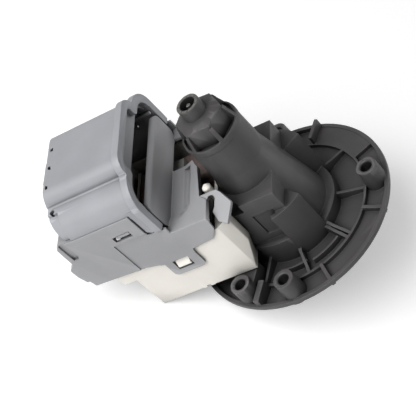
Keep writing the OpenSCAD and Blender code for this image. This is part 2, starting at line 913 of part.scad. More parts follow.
// Sunk field of the shelf: gentle banks towards the rim, with a round corner between them
module shelf_pocket() {
    corner_r = 3.6;
    bank = 4.4;
    centre = [frame_x1 - 9 - bank - corner_r, -frame_y + 7.6 + bank + corner_r];
    low = shelf_z - shelf_sink;
    high = shelf_z + shelf_sink/2;
    wide = corner_r + 1.5*bank;
    start = front_wall_x - 2*over;
    translate([centre[0], shelf_end + over, 0])
        rotate([90, 0, 0])
            linear_extrude(shelf_end + over - centre[1])
                polygon([
                    [start - centre[0], low], [corner_r, low], [wide, high], [start - centre[0], high]
                ]);
    along_x(start, centre[0])
        polygon([
            [centre[1] + over, low], [centre[1] + over, high], [centre[1] - wide, high],
            [centre[1] - corner_r, low]
        ]);
    translate([centre[0], centre[1], 0])
        rotate([0, 0, -90])
            rotate_extrude(angle = 90)
                polygon([[0, low], [corner_r, low], [wide, high], [0, high]]);
}

// Slotted ear that bends down from the rim of the shelf
module frame_ear() {
    slope = 27;
    ear_t = 2.4;
    slot_r = 2;
    slot_x = frame_x1 + 1.5;
    slot_l = 4;
    root_x = frame_x1 - 6;
    translate([0, ear_y, shelf_z])
        rotate([slope, 0, 0])
            translate([0, 0, -ear_t])
                linear_extrude(ear_t)
                    difference() {
                        polygon([
                            [root_x, 0], [slot_x + 3.7, 0], [slot_x + 5.9, -2.3], [slot_x + 10, -8.5],
                            [slot_x + 9.4, -10.3], [slot_x + 5.3, -18.4], [slot_x + 0.9, -15.5],
                            [slot_x - 0.9, -10], [slot_x + 0.6, -8], [slot_x + slot_r, -slot_l],
                            [slot_x - slot_r, -slot_l], [root_x, -slot_l]
                        ]);
                        translate([slot_x, -slot_l]) circle(r = slot_r);
                    }
}

// Shelf before the mouth: sunk field, raised rim, side skirts and the slotted ear
module frame_shelf() {
    edge_x = frame_x1 - 4;
    far_ledge_y = 27;
    skirt_top = tab_z0 - 0.8;
    low = shelf_z - shelf_t - shelf_sink;
    difference() {
        translate([0, 0, low])
            linear_extrude(shelf_z - low)
                polygon([
                    [front_wall_x - over, -frame_y + 0.2], [frame_x1, -frame_y + 0.2], [frame_x1, ear_y - 4],
                    [edge_x, ear_y], [edge_x - 1.6, 0], [edge_x - 4.6, shelf_end],
                    [front_wall_x - over, shelf_end]
                ]);
        shelf_pocket();
    }
    block([front_wall_x - over, far_ledge_y, low], [frame_x1 - 2.4, frame_y - 0.2, shelf_z - shelf_sink]);
    // Side skirts with a chamfered lower front corner
    both_sides()
        translate([0, -frame_y + frame_wall, 0])
            rotate([90, 0, 0])
                linear_extrude(frame_wall)
                    polygon([
                        [tab_x0 - over, frame_z0], [latch_x1, frame_z0], [latch_x1 + 1, frame_z0 + 3],
                        [frame_x1 - 5, frame_z0 + 4.4], [frame_x1 - 0.8, frame_z0 + 10.4],
                        [frame_x1, shelf_z - shelf_sink], [front_wall_x + 1.2, shelf_z - shelf_sink],
                        [front_wall_x + 1.2, skirt_top], [tab_x0 - over, skirt_top]
                    ]);
    frame_ear();
}

module terminal_frame() {
    floor_x1 = case_x0 - 8;
    step_d = 0.6;
    groove_x = bar_x + 3;
    groove_w = 3.6;
    groove_d = 1.3;
    groove_l = 12.4;
    tail_room = 1;
    color(pale_grey)
        difference() {
            union() {
                difference() {
                    across_y(frame_y) frame_outline();
                    // Hollow below the deck, open where the stator case and the coils stand
                    block([bar_x + frame_wall, -frame_y + frame_wall, foot_z + frame_wall],
                          [front_wall_x + over, frame_y - frame_wall, deck_z - deck_t]);
                    block([floor_x1, -frame_y + frame_wall, frame_z0 - over],
                          [front_wall_x + over, frame_y - frame_wall, case_top + 1]);
                    // Deck, sunk between the rails, and the well that the plug's nose reaches over
                    block([-hood_reach + hood_end_wall, -deck_y, deck_z],
                          [front_wall_x + over, deck_y, rail_z + over]);
                    block([front_wall_x - well_l, -well_y, deck_z - 2*deck_t],
                          [front_wall_x + over, well_y, rail_z + over]);
                }
                front_panel();
                frame_shelf();
                both_sides() latch_tab();
            }
            both_sides() {
                // Opening for the hood's tab
                block([tab_x0 - gap, deck_y, tab_z0 - gap],
                      [front_wall_x + over, frame_y + over, rail_z + over]);
                // Window of the hood's snap, and the way in for its leg
                block([window_x0, deck_y - 4, window_z0], [window_x1, frame_y + over, window_z1]);
                block([snap_x0 - gap, hood_in_y, window_z1 - over],
                      [snap_x1 + gap, hood_in_y + snap_t + gap, rail_z + over]);
                // Upright groove beside the bar at the far end
                block([groove_x, frame_y - groove_d, rail_z - groove_l],
                      [groove_x + groove_w, frame_y + over, rail_z + over]);
                // The plate steps back beside the latch
                block([step_x, frame_y - step_d, frame_z0 - 2*latch_drop],
                      [frame_x1 + over, frame_y + over, window_z0 - 1.8]);
            }
            // Openings for the terminal tails
            for (y = [-blade_pitch/2, blade_pitch/2])
                block([block_x0 + blade_seat - tail_room, y - blade_w/2 - tail_room, deck_z - 6],
                      [block_x0 + blade_seat + blade_t + 2*tail_room, y + blade_w/2 + tail_room, deck_z + 1]);
        }
}

// Outline of the hood in (Y, Z) above z_low: round shoulders, a concave fillet and a round upper step
module hood_outline(inset, z_low) {
    half = hood_y - inset;
    r = hood_round - inset;
    shoulder = hood_shoulder_z - inset;
    step = hood_step - inset;
    top = hood_top - inset;
    c = hood_top_round - inset;
    f = hood_fillet + inset/2;
    bite = 0.3;
    intersection() {
        translate([-hood_y, z_low]) square([2*hood_y, hood_top]);
        union() {
            translate([-half, z_low - r]) square([2*half, shoulder - z_low]);
            translate([-half + r, z_low]) square([2*(half - r), shoulder - z_low]);
            translate([-step, z_low]) square([2*step, top - c - z_low]);
            translate([-step + c, z_low]) square([2*(step - c), top - z_low]);
            for (side = [0, 1])
                mirror([side, 0]) {
                    translate([half - r, shoulder - r]) circle(r = r);
                    translate([step - c, top - c]) circle(r = c);
                    translate([step - bite, shoulder - bite])
                        difference() {
                            square(f);
                            translate([f, f]) circle(r = f);
                        }
                }
        }
    }
}

// Tab beside the mouth and snap in the frame's window, at -Y
module hood_fastenings(skirt_z) {
    chamfer = 1.5;
    root = skirt_z + 2;
    tab_in_y = hood_in_y + gap;
    snap_z = window_z0 + 1.2;
    nose_y = frame_y - 0.5;
    translate([0, -tab_in_y, 0])
        rotate([90, 0, 0])
            linear_extrude(hood_y - rim_proud - run - tab_in_y)
                polygon([
                    [tab_x0, root], [tab_x0, tab_z0 + chamfer], [tab_x0 + chamfer, tab_z0],
                    [-mouth_x, tab_z0], [-mouth_x, root]
                ]);
    block([-mouth_x - rim_l, -hood_y, tab_z0 + gap], [-mouth_x, -tab_in_y - run, skirt_z + run]);
    block([snap_x0, -hood_in_y - snap_t, snap_z], [snap_x1, -hood_in_y - gap, root]);
    block([snap_x0, -nose_y, snap_z], [snap_x1, -hood_in_y - gap, window_z1 - gap]);
}

// Hood over the terminals: body, proud lip round the mouth, and the plug slot under a ledge
module terminal_hood() {
    x0 = -hood_reach - hood_slope;
    x1 = -mouth_x;
    skirt_z = rail_z + run;
    slot_y = hood_in_y - 0.6;
    vent_y = [-16.4, -3.8, 8.8];
    vent_l = 1.6;
    vent_w = 2.2;
    hole_d = 2.8;
    step_in = 1.5;
    ledge_y = hood_step + 2.6;
    end_corner = 3;
    color(pale_grey)
        difference() {
            union() {
                intersection() {
                    union() {
                        along_x(x0, x1) hood_outline(rim_proud, skirt_z);
                        along_x(x1 - rim_l, x1) hood_outline(0, skirt_z);
                    }
                    // Far end bulges out at the height of the shoulders, with round upright corners
                    across_y(hood_y + over)
                        polygon([
                            [x0 + 2.6, skirt_z - over], [x1 + over, skirt_z - over],
                            [x1 + over, hood_top + over], [x0 + hood_slope, hood_top + over],
                            [x0 + 0.4, hood_shoulder_z - 0.6], [x0, hood_shoulder_z - 3.6],
                            [x0 + 1.4, hood_shoulder_z - 8]
                        ]);
                    translate([0, 0, skirt_z - over])
                        linear_extrude(hood_top)
                            round_rect([x0, -hood_y - over], [x1 + 20, hood_y + over], end_corner + over);
                }
                both_sides() hood_fastenings(skirt_z);
            }
            // Terminal room, open below
            along_x(x0 + hood_slope + hood_end_wall, x1 - lip_depth - ledge_t)
                hood_outline(hood_wall + rim_proud, skirt_z - over);
            // Recess inside the lip, and the plug slot in the ledge behind it
            along_x(x1 - lip_depth, x1 + over) hood_outline(lip_w, skirt_z - over);
            along_x(x1 - lip_depth - ledge_t - over, x1 + over)
                round_rect([-slot_y, skirt_z - 2*slot_round], [slot_y, slot_top], slot_round);
            // Small slots along the far edge of the top, and a round hole at the end of each valley
            for (y = vent_y)
                block([x0 + hood_slope + vent_l/2, y, hood_top - 2*hood_wall],
                      [x0 + hood_slope + 3*vent_l/2, y + vent_w, hood_top + over]);
            both_sides() {
                translate([-hood_reach, -hood_step - hole_d/2, hood_shoulder_z - 2*hood_wall])
                    cylinder(d = hole_d, h = hood_top);
                // The shoulders step in before the far end
                along_x(x0 - over, -hood_reach + hood_end_wall)
                    difference() {
                        translate([-hood_y - over, skirt_z - over])
                            square([hood_y + over - ledge_y, hood_shoulder_z - skirt_z + over]);
                        hood_outline(rim_proud + step_in, skirt_z - 2*over);
                    }
            }
        }
}

// Insulating block that stands on the deck and holds the blades
module terminal_block() {
    block_h = 7.4;
    color([0.88, 0.86, 0.80])
        difference() {
            block([block_x0, -block_half, deck_z + run], [block_x0 + block_l, block_half, deck_z + block_h]);
            for (y = [-blade_pitch/2, blade_pitch/2])
                block([block_x0 + blade_seat, y - blade_w/2 - run, deck_z - over],
                      [block_x0 + block_l + over, y + blade_w/2 + run, blade_z + blade_t + run]);
        }
}

// Two flat blades, bent down through the deck at their tails
module spade_terminals() {
    x0 = block_x0 + blade_seat + run;
    blade_l = 26;
    tail_l = 9;
    hole_d = 1.7;
    color([0.78, 0.77, 0.72])
        for (y = [-blade_pitch/2, blade_pitch/2])
            difference() {
                union() {
                    block([x0, y - blade_w/2, blade_z], [x0 + blade_l, y + blade_w/2, blade_z + blade_t]);
                    block([x0, y - blade_w/2, deck_z - tail_l], [x0 + blade_t, y + blade_w/2, blade_z + eps]);
                }
                translate([x0 + blade_l - 5, y, deck_z]) cylinder(d = hole_d, h = 8);
            }
}

pump_housing();
flange_seal();
bearing_holder();
front_bearing();
shaft_seal();
rotor_shaft();
rotor_sleeve();
rotor_magnet();
thrust_washers();
rear_bearing();
rear_bearing_mount();
drive_dog();
impeller();
impeller_cap();
coupling_damper();
stator_core();
core_rivets();
coil_former_left();
coil_former_right();
coil_winding_left();
coil_winding_right();
thermal_protector();
stator_case();
terminal_frame();
terminal_hood();
terminal_block();
spade_terminals();
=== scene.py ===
"""Washer drain pump: moulded finishes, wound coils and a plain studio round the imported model."""

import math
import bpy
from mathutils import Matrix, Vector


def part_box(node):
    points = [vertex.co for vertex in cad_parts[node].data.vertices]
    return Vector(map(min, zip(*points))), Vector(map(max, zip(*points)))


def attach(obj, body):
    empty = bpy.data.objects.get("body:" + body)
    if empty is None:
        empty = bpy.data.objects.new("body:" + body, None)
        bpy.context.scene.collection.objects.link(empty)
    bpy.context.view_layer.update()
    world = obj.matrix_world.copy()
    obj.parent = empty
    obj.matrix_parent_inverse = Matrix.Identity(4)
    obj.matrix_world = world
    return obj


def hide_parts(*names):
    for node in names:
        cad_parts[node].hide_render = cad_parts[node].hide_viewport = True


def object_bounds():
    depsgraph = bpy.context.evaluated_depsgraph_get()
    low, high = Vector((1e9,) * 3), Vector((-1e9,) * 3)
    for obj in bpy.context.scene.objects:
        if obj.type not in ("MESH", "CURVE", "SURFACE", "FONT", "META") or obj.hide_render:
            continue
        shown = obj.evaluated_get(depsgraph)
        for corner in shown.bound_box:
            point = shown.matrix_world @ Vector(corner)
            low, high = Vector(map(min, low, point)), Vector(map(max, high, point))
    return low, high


bl_info = {
    "name": "Washer Drain Pump",
    "version": (1, 0, 0),
    "blender": (4, 5, 0),
    "location": "3D View > Sidebar > Drain Pump",
    "description": "Finishes the packed drain pump and lays it on a plain studio floor",
    "category": "Object",
}

import bmesh
import bpy
from bpy.props import FloatProperty, FloatVectorProperty, PointerProperty
from mathutils import Matrix, Vector
from mathutils.bvhtree import BVHTree
from mathutils.geometry import area_tri, intersect_line_line_2d
from mathutils.kdtree import KDTree

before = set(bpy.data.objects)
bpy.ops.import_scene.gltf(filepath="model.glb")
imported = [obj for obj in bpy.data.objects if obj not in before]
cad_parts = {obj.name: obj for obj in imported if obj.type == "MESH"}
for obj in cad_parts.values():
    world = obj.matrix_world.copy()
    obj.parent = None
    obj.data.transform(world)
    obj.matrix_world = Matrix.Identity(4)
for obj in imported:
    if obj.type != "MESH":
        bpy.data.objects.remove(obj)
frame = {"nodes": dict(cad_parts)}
cad_low, cad_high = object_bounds()

NODES = frame["nodes"]

# Merging and rounding of the moulded copies
MERGE_DISTANCE = 2e-5
FLAT_ANGLE = math.radians(0.5)
SHARP_ANGLE = math.radians(28)
SMOOTH_ANGLE = math.radians(34)
FLAT_WEIGHT = 90
EDGE_RUN = 0.003
ROUND_SEGMENTS = 2
ROUNDING_TRIES = 3
STRAY_SHARE = 0.6
SPARED_SHARE = 2
NEAR_SURFACE = 4e-4
OVERLAP_SHARE = 1.001
TINY_AREA = 1e-9
LEVEL = 1e-7

# Painted shade in recesses and painted highlights on edge crests
# Painted shade: within this reach, occlusion darkens the base colour of plastic, wire and tape
RECESS_REACH = 0.02
RECESS_SAMPLES = 12
RECESS_DARK, RECESS_UNSHADED = 0.15, 0.85
# Pointiness range over which the painted edge highlight comes in
EDGE_START, EDGE_FULL = 0.53, 0.62
DEEP_SHADE = 0.9

# Clouds, gloss and grain of moulded plastic
CLOUD_SIZE = 0.02
GLOSS_PATCH = 0.006
GLOSS_SPREAD = 0.06
GRAIN_DEPTH = 0.25

# Core sheets
SHEET_THICKNESS = 0.0005
RUST_COLOUR = (0.12, 0.07, 0.045)


def colour_property(name, description, default):
    return FloatVectorProperty(
        name=name, description=description, default=default, subtype="COLOR", size=3, min=0, max=1
    )


def length_property(name, description, default, low, high):
    return FloatProperty(
        name=name, description=description, default=default, min=low, max=high, unit="LENGTH", precision=5
    )


class PumpColours(bpy.types.PropertyGroup):
    """Linear colours of the finishes."""

    housing: colour_property("Housing", "Dark moulded plastic of the pump housing", (0.072, 0.069, 0.070))
    hood: colour_property("Hood", "Pale grey plastic of the plug hood", (0.355, 0.362, 0.385))
    frame: colour_property("Frame", "Pale grey plastic of the terminal frame", (0.355, 0.357, 0.37))
    case: colour_property("Case", "Cream plastic of the stator case", (0.95, 0.915, 0.85))
    natural: colour_property("Natural", "Formers, terminal block, washers and dog", (0.76, 0.73, 0.65))
    impeller: colour_property("Impeller", "Impeller, rotor sleeve and bearing holder", (0.03, 0.03, 0.032))
    switch: colour_property("Switch", "Body of the overheat switch", (0.22, 0.22, 0.21))
    rubber: colour_property("Rubber", "Seals, dampers and the bearing mount", (0.016, 0.016, 0.017))
    steel: colour_property("Steel", "Shaft and rivets", (0.55, 0.56, 0.58))
    tin: colour_property("Tin", "Tinned spade terminals", (0.66, 0.65, 0.61))
    bronze: colour_property("Bronze", "Sintered bearing bushes", (0.30, 0.19, 0.09))
    sheets: colour_property("Laminations", "Edges of the core sheets", (0.16, 0.155, 0.16))
    magnet: colour_property("Magnet", "Ferrite of the rotor", (0.05, 0.05, 0.053))
    wire: colour_property("Wire", "Enamelled copper wire", (0.36, 0.11, 0.035))
    tape: colour_property("Tape", "Insulating tape round the coils", (0.24, 0.18, 0.165))


class PumpSizes(bpy.types.PropertyGroup):
    """Sizes that the finishing adds to the CAD model."""

    hood_round: length_property("Hood edge", "Rounding of the hood's edges", 0.0006, 0.0001, 0.001)
    frame_round: length_property("Frame edge", "Rounding of the frame's edges", 0.0005, 0.0001, 0.001)
    case_round: length_property("Case edge", "Rounding of the stator case's edges", 0.0005, 0.0001, 0.001)
    housing_round: length_property("Housing edge", "Rounding of housing edges", 0.00035, 0.0001, 0.001)
    small_round: length_property("Small edge", "Rounding of inner plastic parts", 0.00025, 0.0001, 0.0006)
    wire_pitch: length_property("Wire pitch", "Distance between two turns of a coil", 0.0009, 0.0004, 0.002)
    tape_share: FloatProperty(
        name="Tape width", description="Share of a coil that its tape covers",
        default=0.96, min=0.2, max=0.98, subtype="FACTOR",
    )
    grain: length_property("Grain", "Size of the grain on moulded plastic", 0.0003, 0.0001, 0.002)


class PumpStudio(bpy.types.PropertyGroup):
    """Camera, floor and lamps."""

    lens: FloatProperty(name="Lens", description="Focal length, in millimetres", default=96.1)
    key_power: FloatProperty(
        name="Key", description="Power of the softbox at the left", default=10.0, unit="POWER"
    )
    fill_power: FloatProperty(
        name="Fill", description="Power of the softbox at the right", default=2.0, unit="POWER"
    )
    sky: FloatProperty(name="Sky", description="Strength of the white surroundings", default=0.2)
    tilt: FloatProperty(
        name="Floor tilt", description="Lean of the pump on the floor, away from upright",
        default=math.radians(33.75), subtype="ANGLE",
    )
    floor_side: length_property("Floor", "Side of the floor", 6.0, 1.0, 20.0)


# Selection and small tools


def select_only(piece):
    """Makes a piece the one selected and active object."""
    bpy.ops.object.select_all(action="DESELECT")
    piece.select_set(True)
    bpy.context.view_layer.objects.active = piece


def edit(piece):
    """Opens a piece in edit mode."""
    select_only(piece)
    bpy.ops.object.mode_set(mode="EDIT")


def leave_edit():
    bpy.ops.object.mode_set(mode="OBJECT")


def surface_tree(mesh):
    """Search tree over the faces of a mesh."""
    return BVHTree.FromPolygons([v.co for v in mesh.vertices], [p.vertices for p in mesh.polygons])


def keep_to_surface(piece, tree, reach):
    """Brings back points that the edge rounding threw further than reach from the plain surface."""
    for vertex in piece.data.vertices:
        near, _, _, distance = tree.find_nearest(vertex.co)
        if distance > reach:
            vertex.co = near
    piece.data.update()


def crossings(face):
    """Points where the outline of a flat face crosses itself."""
    drop = max(range(3), key=lambda axis: abs(face.normal[axis]))
    across, up = [axis for axis in range(3) if axis != drop]
    corners = [v.co for v in face.verts]
    flat = [Vector((c[across], c[up])) for c in corners]
    count = len(flat)
    found = []
    for i in range(count):
        for j in range(i + 2, count - (i == 0)):
            if intersect_line_line_2d(flat[i], flat[i + 1], flat[j], flat[(j + 1) % count]):
                found += [(corners[i] + corners[i + 1]) / 2, corners[j], corners[(j + 1) % count]]
    return found


def folded_places(piece, tree):
    """Points where the rounding made faces cross each other or turn inside out."""
    places = []
    work = bmesh.new()
    work.from_mesh(piece.data)
    work.faces.ensure_lookup_table()
    for face in work.faces:
        centre = face.calc_center_median()
        _, normal, _, distance = tree.find_nearest(centre)
        if distance < NEAR_SURFACE and face.normal.dot(normal) < 0:
            places.append(centre)
    spanned = {}
    for corners in work.calc_loop_triangles():
        share = area_tri(*(corner.vert.co for corner in corners))
        spanned[corners[0].face] = spanned.get(corners[0].face, 0) + share
    for face, area in spanned.items():
        if area > OVERLAP_SHARE * face.calc_area() + TINY_AREA:
            places += crossings(face)
    surface = BVHTree.FromBMesh(work, epsilon=0)
    for one, other in surface.overlap(surface):
        if one < other and not set(work.faces[one].verts) & set(work.faces[other].verts):
            small = min(work.faces[one], work.faces[other], key=lambda face: face.calc_area())
            places.append(small.calc_center_median())
    work.free()
    return places


def select_sharp(piece, spared, reach):
    """Selects the sharp edges, apart from those within reach of a spared point."""
    bpy.ops.mesh.select_all(action="DESELECT")
    bpy.ops.mesh.select_mode(type="EDGE")
    bpy.ops.mesh.edges_select_sharp(sharpness=SHARP_ANGLE)
    if not spared:
        return
    tree = KDTree(len(spared))
    for index, place in enumerate(spared):
        tree.insert(place, index)
    tree.balance()
    work = bmesh.from_edit_mesh(piece.data)
    for edge in [e for e in work.edges if e.select]:
        ends = [v.co for v in edge.verts]
        if min(tree.find(point)[2] for point in (*ends, (ends[0] + ends[1]) / 2)) < reach:
            edge.select = False
    bmesh.update_edit_mesh(piece.data)


def combine(piece, tool, operation):
    """Adds a tool to a piece, or cuts it out, and clears the tool away."""
    select_only(piece)
    step = piece.modifiers.new("Combine", "BOOLEAN")
    step.operation = operation
    step.solver = "EXACT"
    step.object = tool
    bpy.ops.object.modifier_apply(modifier=step.name)
    bpy.data.objects.remove(tool)


def prism(sides, radius, low, high, turn=0.0):
    """Upright prism or cylinder on the rotor axis."""
    bpy.ops.object.select_all(action="DESELECT")
    bpy.ops.mesh.primitive_cylinder_add(
        vertices=sides, radius=radius, depth=high - low, location=(0, 0, (low + high) / 2),
        rotation=(0, 0, turn),
    )
    return bpy.context.object


def merged_copy(node, carve):
    """A copy of a CAD node, merged and carved, with whole flats and its long edges in short runs."""
    piece = bpy.data.objects.new(f"{node}_moulded", NODES[node].data.copy())
    bpy.context.scene.collection.objects.link(piece)
    edit(piece)
    bpy.ops.mesh.select_all(action="SELECT")
    bpy.ops.mesh.customdata_custom_splitnormals_clear()
    bpy.ops.mesh.remove_doubles(threshold=MERGE_DISTANCE)
    leave_edit()
    if carve:
        carve(piece)
    edit(piece)
    bpy.ops.mesh.select_all(action="SELECT")
    bpy.ops.mesh.dissolve_degenerate(threshold=MERGE_DISTANCE)
    bpy.ops.mesh.dissolve_limited(angle_limit=FLAT_ANGLE)
    work = bmesh.from_edit_mesh(piece.data)
    for edge in [e for e in work.edges if e.calc_length() > 2 * EDGE_RUN]:
        bmesh.ops.bisect_edges(work, edges=[edge], cuts=int(edge.calc_length() / EDGE_RUN))
    bmesh.update_edit_mesh(piece.data)
    leave_edit()
    return piece


def rounded_copy(node, radius, carve=None):
    """A copy of a CAD node with its sharp edges rounded, which then stands for the node.

    Where a try folds the mesh, the next one spares the edges near the fold. Folds of the last try stay.
    """
    piece = merged_copy(node, carve)
    plain = piece.data.copy()
    tree = surface_tree(plain)
    spared = []
    for _ in range(ROUNDING_TRIES):
        used, piece.data = piece.data, plain.copy()
        bpy.data.meshes.remove(used)
        edit(piece)
        select_sharp(piece, spared, SPARED_SHARE * radius)
        bpy.ops.mesh.bevel(offset=radius, segments=ROUND_SEGMENTS, clamp_overlap=False)
        leave_edit()
        keep_to_surface(piece, tree, STRAY_SHARE * radius)
        folds = folded_places(piece, tree)
        if not folds:
            break
        spared += folds
    bpy.data.meshes.remove(plain)
    bpy.ops.object.shade_smooth_by_angle(angle=SMOOTH_ANGLE)
    flats = piece.modifiers.new("Flats", "WEIGHTED_NORMAL")
    flats.mode = "FACE_AREA"
    flats.weight = FLAT_WEIGHT
    flats.keep_sharp = True
    bpy.ops.object.modifier_apply(modifier=flats.name)
    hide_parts(node)
    return piece


def dress(piece, material):
    """Gives a piece one material, in place of what it came with."""
    piece.data.materials.clear()
    piece.data.materials.append(material)


def dress_node(node, material):
    """Gives a CAD node its material through the object, so its mesh stays as packed."""
    slot = NODES[node].material_slots[0]
    slot.link = "OBJECT"
    slot.material = material


def moulded(node, radius, material, body="housing", carve=None):
    """A rounded copy of a node, with its material and body."""
    piece = rounded_copy(node, radius, carve=carve)
    dress(piece, material)
    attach(piece, body)
    return piece


# Materials


def new_material(name):
    """(material, node tree, shader) of a new material with one principled shader."""
    material = bpy.data.materials.new(name)
    material.use_nodes = True
    tree = material.node_tree
    tree.nodes.clear()
    output = tree.nodes.new("ShaderNodeOutputMaterial")
    shader = tree.nodes.new("ShaderNodeBsdfPrincipled")
    tree.links.new(shader.outputs["BSDF"], output.inputs["Surface"])
    return material, tree, shader


def object_point(tree):
    """Place on the object, in metres."""
    return tree.nodes.new("ShaderNodeTexCoord").outputs["Object"]


def noise(tree, point, size, detail=2.0, stretch=None):
    """Noise whose lumps are about size metres across."""
    if stretch:
        mapping = tree.nodes.new("ShaderNodeMapping")
        mapping.inputs["Scale"].default_value = stretch
        tree.links.new(point, mapping.inputs["Vector"])
        point = mapping.outputs["Vector"]
    node = tree.nodes.new("ShaderNodeTexNoise")
    node.inputs["Scale"].default_value = 1 / size
    node.inputs["Detail"].default_value = detail
    tree.links.new(point, node.inputs["Vector"])
    return node.outputs["Fac"]


def spread(tree, value, low, high, from_low=0.3, from_high=0.7):
    """Maps a value, by default a noise, to the range from low to high."""
    node = tree.nodes.new("ShaderNodeMapRange")
    node.inputs["From Min"].default_value = from_low
    node.inputs["From Max"].default_value = from_high
    node.inputs["To Min"].default_value = low
    node.inputs["To Max"].default_value = high
    tree.links.new(value, node.inputs["Value"])
    return node.outputs["Result"]


def bump(tree, shader, height, strength, depth):
    """Fine relief of a finish, depth metres deep."""
    node = tree.nodes.new("ShaderNodeBump")
    node.inputs["Strength"].default_value = strength
    node.inputs["Distance"].default_value = depth
    tree.links.new(height, node.inputs["Height"])
    tree.links.new(node.outputs["Normal"], shader.inputs["Normal"])


def scaled(colour, factor):
    """A colour made lighter or darker."""
    return tuple(min(1.0, c * factor) for c in colour)


def mixed(tree, factor, first, second):
    """Mix of two colours, either of which is a socket or a plain colour."""
    node = tree.nodes.new("ShaderNodeMix")
    node.data_type = "RGBA"
    for key, value in (("A", first), ("B", second)):
        if isinstance(value, bpy.types.NodeSocket):
            tree.links.new(value, node.inputs[key])
        else:
            node.inputs[key].default_value = (*value, 1)
    tree.links.new(factor, node.inputs["Factor"])
    return node.outputs["Result"]


def open_share(tree, reach):
    """0 deep in a recess, 1 where nothing lies within reach."""
    node = tree.nodes.new("ShaderNodeAmbientOcclusion")
    node.samples = RECESS_SAMPLES
    node.inputs["Distance"].default_value = reach
    return node.outputs["AO"]


def shaded(tree, paint, colour, recess):
    """A colour with painted shade: it darkens by up to recess in the depth of the object."""
    unshaded = spread(tree, open_share(tree, RECESS_REACH), 0, 1, RECESS_DARK, RECESS_UNSHADED)
    return mixed(tree, unshaded, scaled(colour, 1 - recess), paint)


def edge_share(tree):
    """1 on the crests of rounded edges, 0 on flats and in hollows: the mask of the painted edge highlight.
    """
    geometry = tree.nodes.new("ShaderNodeNewGeometry")
    return spread(tree, geometry.outputs["Pointiness"], 0, 1, EDGE_START, EDGE_FULL)


def moulded_plastic(
    name, colour, roughness, variation, grain, relief, specular=0.5, recess=0.5, edge_highlight=0.25
):
    """Moulded plastic: cloudy colour, painted shade in recesses, painted highlights on edge crests, uneven
    gloss and a fine grain.
    """
    material, tree, shader = new_material(name)
    point = object_point(tree)
    clouds = noise(tree, point, CLOUD_SIZE, 4)
    shade = mixed(
        tree, spread(tree, clouds, 0, 1), scaled(colour, 1 - variation), scaled(colour, 1 + variation)
    )
    # Painted highlight: the crests of rounded edges are lightened
    edge_lit = mixed(tree, edge_share(tree), shade, scaled(colour, 1 + edge_highlight))
    # Painted shade: the base colour darkens in recesses
    tree.links.new(shaded(tree, edge_lit, colour, recess), shader.inputs["Base Color"])
    patches = noise(tree, point, GLOSS_PATCH, 3)
    gloss = spread(tree, patches, roughness - GLOSS_SPREAD, roughness + GLOSS_SPREAD)
    tree.links.new(gloss, shader.inputs["Roughness"])
    bump(tree, shader, noise(tree, point, grain, 3), relief, GRAIN_DEPTH * grain)
    shader.inputs["Specular IOR Level"].default_value = specular
    return material


def rubber_finish(name, colour):
    """Dull rubber with a faint bloom."""
    material, tree, shader = new_material(name)
    point = object_point(tree)
    bloom = spread(tree, noise(tree, point, 0.004, 4), 0, 1)
    tree.links.new(mixed(tree, bloom, colour, scaled(colour, 1.8)), shader.inputs["Base Color"])
    tree.links.new(spread(tree, bloom, 0.62, 0.8, 0, 1), shader.inputs["Roughness"])
    bump(tree, shader, noise(tree, point, 0.0004, 2), 0.15, 0.0001)
    shader.inputs["Specular IOR Level"].default_value = 0.3
    return material


def metal_finish(name, colour, roughness, streaks, metallic=1.0):
    """Drawn or turned metal: streaks along the row axis that streaks stretches least."""
    material, tree, shader = new_material(name)
    point = object_point(tree)
    lines = noise(tree, point, 0.0012, 4, streaks)
    tree.links.new(
        mixed(tree, spread(tree, lines, 0, 1), scaled(colour, 0.82), scaled(colour, 1.1)),
        shader.inputs["Base Color"],
    )
    tree.links.new(spread(tree, lines, roughness - 0.08, roughness + 0.1), shader.inputs["Roughness"])
    bump(tree, shader, lines, 0.08, 0.00005)
    shader.inputs["Metallic"].default_value = metallic
    return material


def speckled(name, colour, fleck, size, roughness, metallic):
    """Sintered or pressed stuff: fine flecks of a second colour."""
    material, tree, shader = new_material(name)
    point = object_point(tree)
    flecks = spread(tree, noise(tree, point, size, 3), 0, 1, 0.45, 0.62)
    tree.links.new(mixed(tree, flecks, colour, fleck), shader.inputs["Base Color"])
    tree.links.new(spread(tree, flecks, roughness, roughness + 0.15, 0, 1), shader.inputs["Roughness"])
    bump(tree, shader, flecks, 0.2, 0.00006)
    shader.inputs["Metallic"].default_value = metallic
    return material


def sheet_stack(name, colour, sheet):
    """Edges of stacked core sheets, sheet metres thick, with a touch of rust."""
    material, tree, shader = new_material(name)
    point = object_point(tree)
    bands = tree.nodes.new("ShaderNodeTexWave")
    bands.wave_type = "BANDS"
    bands.bands_direction = "Z"
    bands.wave_profile = "SIN"
    bands.inputs["Scale"].default_value = math.pi / (10 * sheet)
    bands.inputs["Distortion"].default_value = 0.4
    tree.links.new(point, bands.inputs["Vector"])
    lines = bands.outputs["Fac"]
    rust = spread(tree, noise(tree, point, 0.004, 4), 0, 1, 0.5, 0.75)
    steel = mixed(tree, lines, scaled(colour, 0.5), scaled(colour, 1.3))
    rusty = mixed(tree, spread(tree, rust, 0, 0.35, 0, 1), steel, RUST_COLOUR)
    tree.links.new(rusty, shader.inputs["Base Color"])
    tree.links.new(spread(tree, lines, 0.55, 0.38, 0, 1), shader.inputs["Roughness"])
    bump(tree, shader, lines, 0.35, 0.0002)
    shader.inputs["Metallic"].default_value = 0.7
    return material


